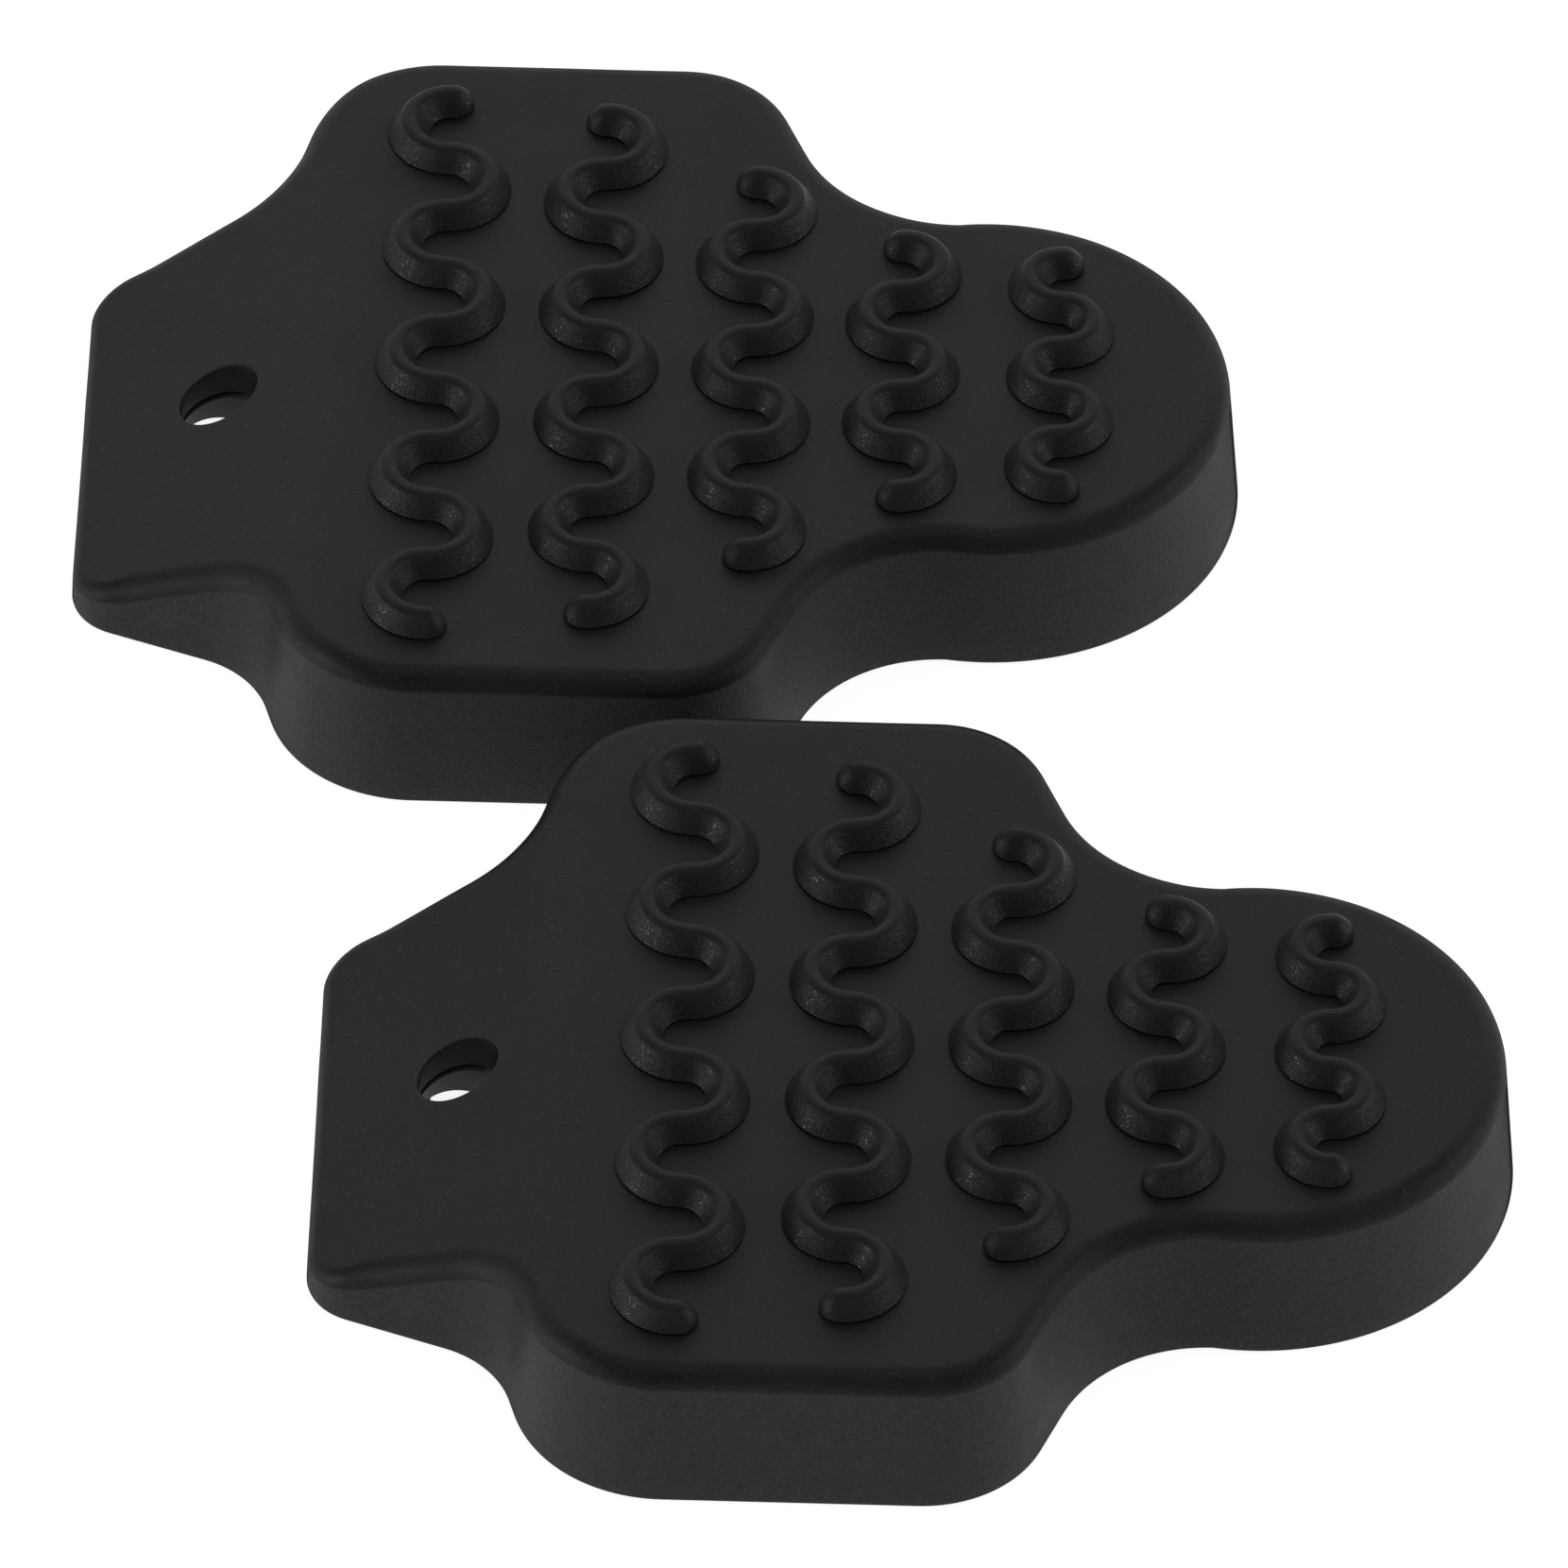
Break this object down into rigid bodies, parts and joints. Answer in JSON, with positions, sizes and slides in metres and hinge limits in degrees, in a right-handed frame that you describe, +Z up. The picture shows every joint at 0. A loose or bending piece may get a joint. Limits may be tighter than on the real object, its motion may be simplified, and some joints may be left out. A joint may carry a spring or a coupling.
{
  "type": "walking covers for road bicycle shoe cleats",
  "caption": "Moulded black rubber walking covers for shoe cleats, with wavy tread ribs, a rounded nose, side wings, a hollow underside and a sloping tail tab with a hanging hole.",
  "frame": {"origin": "under the middle of the pair's own box, on the surface it lies on", "axes": "+X from the tail tab to the nose of each cover, +Y from the front cover to the rear cover, +Z up, away from the open rims"},
  "size_m": [0.1062, 0.14, 0.0135],
  "materials": {
    "shell_rubber": "satin matt moulded black rubber, fine grain on the side walls",
    "tread_rubber": "matt black rubber, slightly shinier on the flanks",
    "liner_plastic": "matt black moulded plastic"
  },
  "bodies": {
    "front_cover": {"front_mat_shell": "shell_rubber", "front_mat_liner": "liner_plastic", "front_tread_rib_1": "tread_rubber", "front_tread_rib_2": "tread_rubber", "front_tread_rib_3": "tread_rubber", "front_tread_rib_4": "tread_rubber", "front_tread_rib_5": "tread_rubber"},
    "rear_cover": {"rear_mat_shell": "shell_rubber", "rear_mat_liner": "liner_plastic", "rear_tread_rib_1": "tread_rubber", "rear_tread_rib_2": "tread_rubber", "rear_tread_rib_3": "tread_rubber", "rear_tread_rib_4": "tread_rubber", "rear_tread_rib_5": "tread_rubber"}
  },
  "joints": [
    {"name": "rear_cover_lift", "type": "slide", "parent": "front_cover", "child": "rear_cover", "axis": [0, 0, 1], "range_m": [0, 0.05]}
  ]
}
